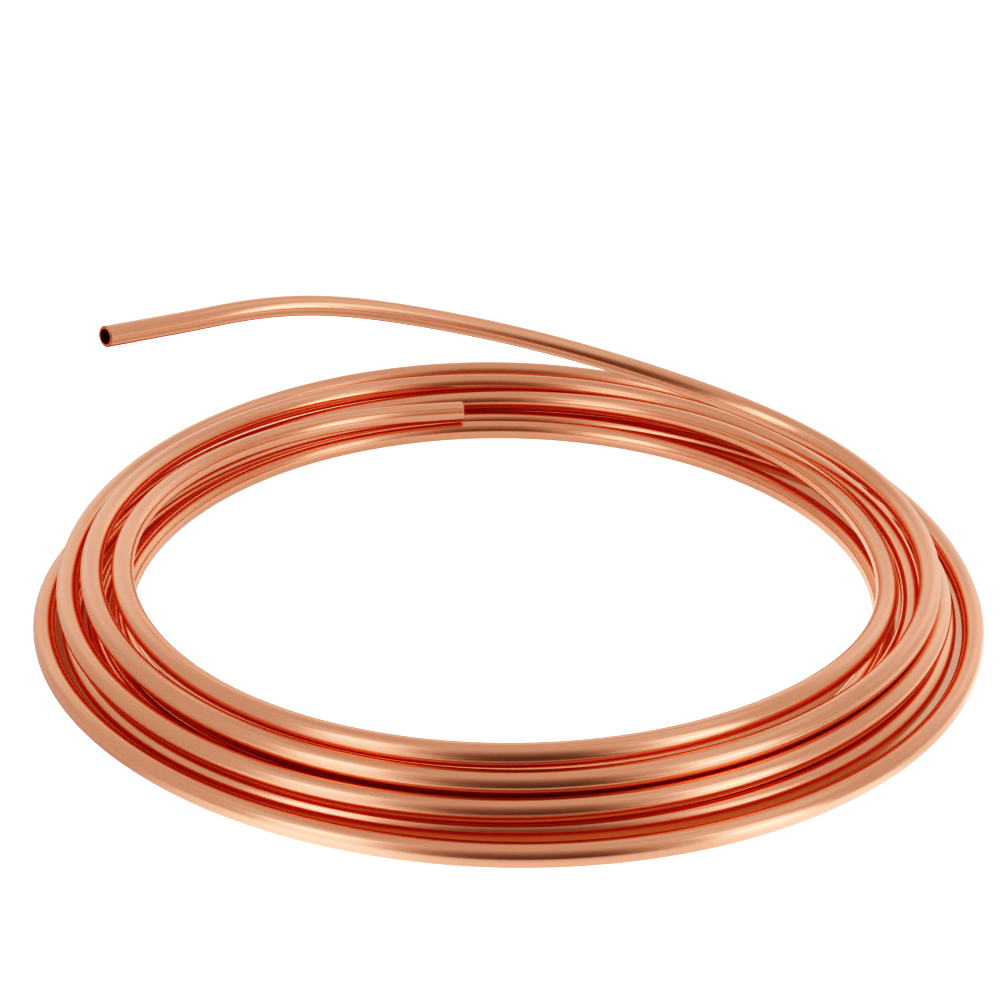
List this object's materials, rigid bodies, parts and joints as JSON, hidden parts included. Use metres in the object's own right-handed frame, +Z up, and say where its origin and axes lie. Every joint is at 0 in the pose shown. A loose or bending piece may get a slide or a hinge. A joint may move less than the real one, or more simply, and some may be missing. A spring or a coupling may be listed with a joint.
{
  "type": "copper tube coil",
  "caption": "Loose flat coil of soft annealed copper tube with two open cut ends, one inside the coil and one sprung up over its back, for lines that carry fuel, brake fluid, gas or coolant",
  "frame": {"origin": "the middle of the coil's eye, at floor level", "axes": "+Z up along the eye's axis, +Y to the back of the coil where the inner free end lies, +X to its right"},
  "size_m": [0.2052, 0.2127, 0.0566],
  "materials": {
    "copper": "polished bare copper, drawn"
  },
  "bodies": {
    "root": {"copper_tube": "copper"}
  },
  "joints": []
}
